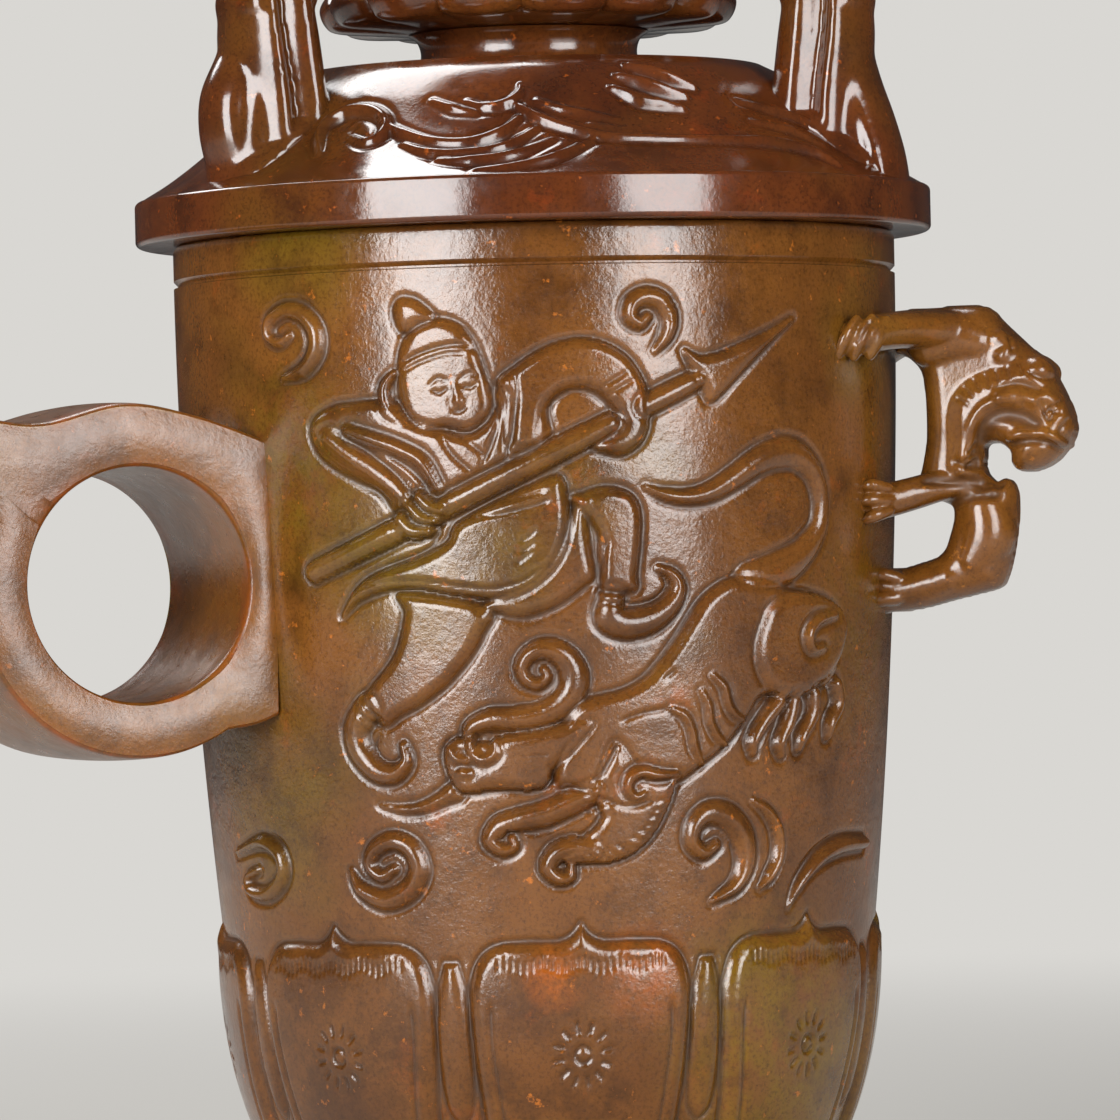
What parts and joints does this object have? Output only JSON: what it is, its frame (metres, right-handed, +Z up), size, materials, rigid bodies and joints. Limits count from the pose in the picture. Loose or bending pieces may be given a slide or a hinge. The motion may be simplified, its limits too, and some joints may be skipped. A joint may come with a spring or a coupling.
{
  "type": "covered jade cup",
  "caption": "Tapering carved stone cup with a ring handle and thumb rest, a small climbing dragon on its side, and a lift-off cover with scroll lugs and a flower knob.",
  "frame": {"origin": "middle of the flat underside of the foot", "axes": "+Z up along the cup's axis; the ring handle lies along -X; the dragon stands 36 degrees from +X towards -Y"},
  "size_m": [0.1095, 0.075, 0.1264],
  "materials": {
    "cup_stone": "polished tawny brown jade",
    "handle_stone": "satin greyish brown jade",
    "dragon_stone": "polished honey brown jade",
    "cover_stone": "polished dark red-brown jade"
  },
  "bodies": {
    "cup": {"cup_body": "cup_stone", "ring_handle": "handle_stone", "dragon_head": "dragon_stone", "dragon_haunch": "dragon_stone", "dragon_torso": "dragon_stone", "dragon_near_foreleg": "dragon_stone", "dragon_far_foreleg": "dragon_stone", "dragon_near_hind_leg": "dragon_stone", "dragon_lower_hind_leg": "dragon_stone"},
    "cover": {"cover_dome": "cover_stone", "knob_stem": "cover_stone", "knob_flower": "cover_stone", "cover_lug_1": "cover_stone", "cover_lug_2": "cover_stone", "cover_lug_3": "cover_stone"}
  },
  "joints": [
    {"name": "cover_lift", "type": "slide", "parent": "cup", "child": "cover", "axis": [0, 0, 1], "range_m": [0, 0.06]}
  ]
}
